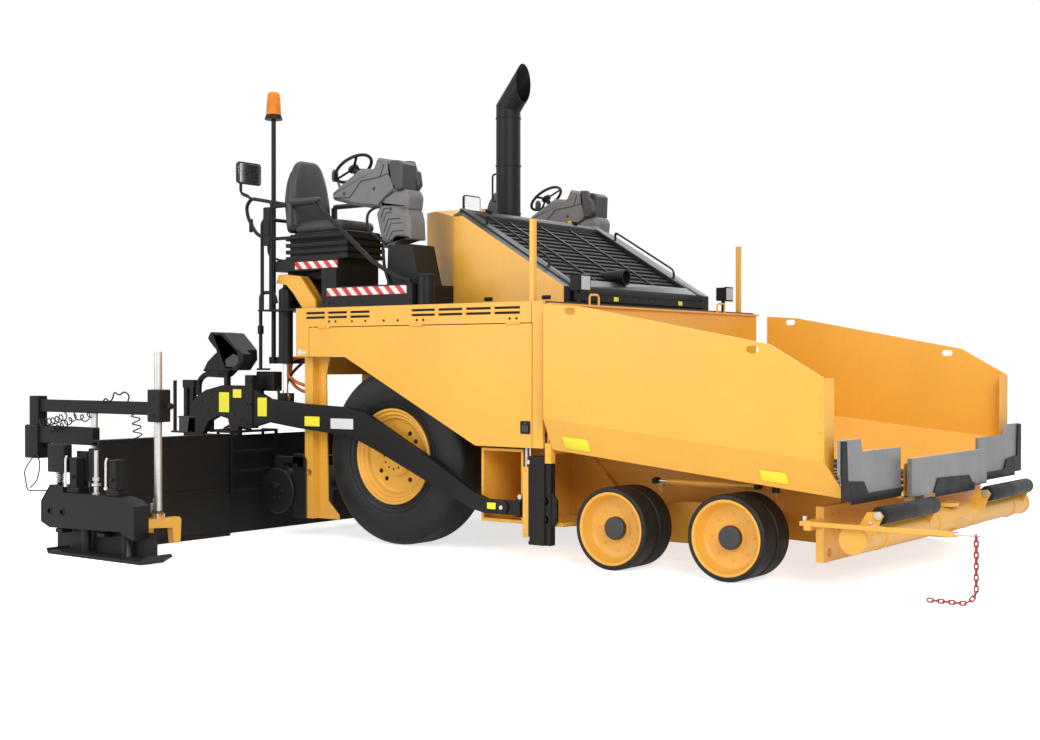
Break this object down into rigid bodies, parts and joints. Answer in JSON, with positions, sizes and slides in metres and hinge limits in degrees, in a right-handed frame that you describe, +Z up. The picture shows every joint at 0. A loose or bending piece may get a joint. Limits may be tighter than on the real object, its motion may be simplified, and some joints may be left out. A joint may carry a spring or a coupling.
{
  "type": "asphalt paver",
  "caption": "Wheeled road paver: front hopper with folding wings, push rollers, twin operator stations, towed extending screed with augers, steered front wheels.",
  "frame": {"origin": "on the ground, half way between the rear edge of the screed walkway and the tip of the guide rod, on the centre plane", "axes": "+X forwards to the hopper, +Y to the left, +Z up"},
  "size_m": [7.472, 6.58, 3.8883],
  "materials": {
    "yellow": "satin paint",
    "black": "satin paint",
    "grey": "moulded",
    "steel": "brushed",
    "dark_steel": "rough",
    "tyre": "matte",
    "rubber": "matte",
    "seat": "vinyl",
    "amber": "clear tinted",
    "red": "satin paint"
  },
  "bodies": {
    "chassis": {"main_frame": "yellow", "deck_sides": "yellow", "operator_deck": "black", "hood": "yellow", "engine_block": "dark_steel", "exhaust_stack": "black", "station_platforms": "black", "seats": "seat", "consoles": "grey", "handrails": "black", "beacon_lens": "amber", "hopper_floor": "yellow", "conveyor": "dark_steel", "mid_apron": "steel", "tow_points": "black", "auger_case": "black", "guide_chain": "red"},
    "hood_lid": {"hood_grille": "black"},
    "push_beam": {"push_beam": "yellow"},
    "screed": {"tow_arms": "black", "screed_frame": "black"},
    "rear_wheel_right": {"rear_tyre_right": "tyre", "rear_rim_right": "yellow"},
    "knuckle_rear_right": {"knuckle_rear_right": "black"},
    "front_wheel_rear_right": {"front_wheel_rear_right": "yellow"},
    "knuckle_fore_right": {"knuckle_fore_right": "black"},
    "front_wheel_fore_right": {"front_wheel_fore_right": "yellow"},
    "tie_rod_right": {"tie_rod_right": "steel"},
    "side_door_right": {"side_door_right": "yellow"},
    "hopper_wing_right": {"hopper_wing_right": "yellow", "side_apron_right": "steel"},
    "push_roller_right": {"push_roller_right": "rubber"},
    "auger_right": {"auger_right": "dark_steel"},
    "screed_extension_right": {"screed_extension_right": "black", "end_gate_right": "black"},
    "lift_barrel_right": {"lift_barrel_right": "black"},
    "lift_rod_right": {"lift_rod_right": "steel"},
    "rear_wheel_left": {"rear_tyre_left": "tyre", "rear_rim_left": "yellow"},
    "knuckle_rear_left": {"knuckle_rear_left": "black"},
    "front_wheel_rear_left": {"front_wheel_rear_left": "yellow"},
    "knuckle_fore_left": {"knuckle_fore_left": "black"},
    "front_wheel_fore_left": {"front_wheel_fore_left": "yellow"},
    "tie_rod_left": {"tie_rod_left": "steel"},
    "side_door_left": {"side_door_left": "yellow"},
    "hopper_wing_left": {"hopper_wing_left": "yellow", "side_apron_left": "steel"},
    "push_roller_left": {"push_roller_left": "rubber"},
    "auger_left": {"auger_left": "dark_steel"},
    "screed_extension_left": {"screed_extension_left": "black", "end_gate_left": "black"},
    "lift_barrel_left": {"lift_barrel_left": "black"},
    "lift_rod_left": {"lift_rod_left": "steel"}
  },
  "joints": [
    {"name": "rear_wheel_spin_right", "type": "hinge", "parent": "chassis", "child": "rear_wheel_right", "pos_m": [-0.836, -1.24, 0.68], "axis": [0, 1, 0], "continuous": true},
    {"name": "steer_rear_right", "type": "hinge", "parent": "chassis", "child": "knuckle_rear_right", "pos_m": [1.227, -1.12, 0.2795], "axis": [0, 0, 1], "range_deg": [-20, 20]},
    {"name": "front_spin_rear_right", "type": "hinge", "parent": "knuckle_rear_right", "child": "front_wheel_rear_right", "pos_m": [1.227, -1.38, 0.2795], "axis": [0, 1, 0], "continuous": true},
    {"name": "steer_fore_right", "type": "hinge", "parent": "chassis", "child": "knuckle_fore_right", "pos_m": [2.101, -1.12, 0.2795], "axis": [0, 0, 1], "range_deg": [-20, 20]},
    {"name": "front_spin_fore_right", "type": "hinge", "parent": "knuckle_fore_right", "child": "front_wheel_fore_right", "pos_m": [2.101, -1.38, 0.2795], "axis": [0, 1, 0], "continuous": true},
    {"name": "tie_rod_pivot_right", "type": "hinge", "parent": "knuckle_rear_right", "child": "tie_rod_right", "pos_m": [1.362, -1.12, 0.574], "axis": [0, 0, 1], "range_deg": [-20, 20]},
    {"name": "side_door_hinge_right", "type": "hinge", "parent": "chassis", "child": "side_door_right", "pos_m": [-0.836, -1.557, 1.67], "axis": [-1, 0, 0], "range_deg": [0, 75]},
    {"name": "hopper_wing_fold_right", "type": "hinge", "parent": "chassis", "child": "hopper_wing_right", "pos_m": [0.747, -0.71, 0.745], "axis": [-0.9949, 0, 0.101], "range_deg": [0, 50]},
    {"name": "push_roller_spin_right", "type": "hinge", "parent": "push_beam", "child": "push_roller_right", "pos_m": [3.059, -0.9465, 0.47], "axis": [0, 1, 0], "continuous": true},
    {"name": "auger_spin_right", "type": "hinge", "parent": "chassis", "child": "auger_right", "pos_m": [-2.036, -0.785, 0.366], "axis": [0, 1, 0], "continuous": true},
    {"name": "screed_extension_slide_right", "type": "slide", "parent": "screed", "child": "screed_extension_right", "axis": [0, 1, 0], "range_m": [0, 0.9]},
    {"name": "lift_barrel_swing_right", "type": "hinge", "parent": "chassis", "child": "lift_barrel_right", "pos_m": [-1.972, -1.45, 2.07], "axis": [0, -1, 0], "range_deg": [0, 9]},
    {"name": "lift_rod_slide_right", "type": "slide", "parent": "lift_barrel_right", "child": "lift_rod_right", "axis": [0, 0, 1], "range_m": [0, 0.26]},
    {"name": "rear_wheel_spin_left", "type": "hinge", "parent": "chassis", "child": "rear_wheel_left", "pos_m": [-0.836, 1.24, 0.68], "axis": [0, 1, 0], "continuous": true},
    {"name": "steer_rear_left", "type": "hinge", "parent": "chassis", "child": "knuckle_rear_left", "pos_m": [1.227, 1.12, 0.2795], "axis": [0, 0, 1], "range_deg": [-20, 20]},
    {"name": "front_spin_rear_left", "type": "hinge", "parent": "knuckle_rear_left", "child": "front_wheel_rear_left", "pos_m": [1.227, 1.38, 0.2795], "axis": [0, 1, 0], "continuous": true},
    {"name": "steer_fore_left", "type": "hinge", "parent": "chassis", "child": "knuckle_fore_left", "pos_m": [2.101, 1.12, 0.2795], "axis": [0, 0, 1], "range_deg": [-20, 20]},
    {"name": "front_spin_fore_left", "type": "hinge", "parent": "knuckle_fore_left", "child": "front_wheel_fore_left", "pos_m": [2.101, 1.38, 0.2795], "axis": [0, 1, 0], "continuous": true},
    {"name": "tie_rod_pivot_left", "type": "hinge", "parent": "knuckle_rear_left", "child": "tie_rod_left", "pos_m": [1.362, 1.12, 0.574], "axis": [0, 0, 1], "range_deg": [-20, 20]},
    {"name": "side_door_hinge_left", "type": "hinge", "parent": "chassis", "child": "side_door_left", "pos_m": [-0.836, 1.557, 1.67], "axis": [1, 0, 0], "range_deg": [0, 75]},
    {"name": "hopper_wing_fold_left", "type": "hinge", "parent": "chassis", "child": "hopper_wing_left", "pos_m": [0.747, 0.71, 0.745], "axis": [0.9949, 0, -0.101], "range_deg": [0, 50]},
    {"name": "push_roller_spin_left", "type": "hinge", "parent": "push_beam", "child": "push_roller_left", "pos_m": [3.059, 0.9465, 0.47], "axis": [0, 1, 0], "continuous": true},
    {"name": "auger_spin_left", "type": "hinge", "parent": "chassis", "child": "auger_left", "pos_m": [-2.036, 0.785, 0.366], "axis": [0, 1, 0], "continuous": true},
    {"name": "screed_extension_slide_left", "type": "slide", "parent": "screed", "child": "screed_extension_left", "axis": [0, -1, 0], "range_m": [0, 0.9]},
    {"name": "lift_barrel_swing_left", "type": "hinge", "parent": "chassis", "child": "lift_barrel_left", "pos_m": [-1.972, 1.45, 2.07], "axis": [0, -1, 0], "range_deg": [0, 9]},
    {"name": "lift_rod_slide_left", "type": "slide", "parent": "lift_barrel_left", "child": "lift_rod_left", "axis": [0, 0, 1], "range_m": [0, 0.26]},
    {"name": "hood_lid_hinge", "type": "hinge", "parent": "chassis", "child": "hood_lid", "pos_m": [-0.578, 0, 2.608], "axis": [0, -1, 0], "range_deg": [0, 50]},
    {"name": "push_beam_swivel", "type": "hinge", "parent": "chassis", "child": "push_beam", "pos_m": [2.948, 0, 0.327], "axis": [0, 0, 1], "range_deg": [-2, 2]},
    {"name": "screed_raise", "type": "hinge", "parent": "chassis", "child": "screed", "pos_m": [0.315, 0, 0.37], "axis": [0, 1, 0], "range_deg": [0, 5.5]}
  ],
  "couplings": [
    {"joint": "steer_fore_right", "follows": "steer_rear_right", "ratio": 1},
    {"joint": "steer_rear_left", "follows": "steer_rear_right", "ratio": 1},
    {"joint": "steer_fore_left", "follows": "steer_rear_right", "ratio": 1},
    {"joint": "tie_rod_pivot_right", "follows": "steer_rear_right", "ratio": -1},
    {"joint": "tie_rod_pivot_left", "follows": "steer_rear_right", "ratio": -1},
    {"joint": "lift_barrel_swing_right", "follows": "screed_raise", "ratio": 1.1357},
    {"joint": "lift_rod_slide_right", "follows": "screed_raise", "m_per_rad": 2.2017},
    {"joint": "lift_barrel_swing_left", "follows": "screed_raise", "ratio": 1.1357},
    {"joint": "lift_rod_slide_left", "follows": "screed_raise", "m_per_rad": 2.2017}
  ]
}
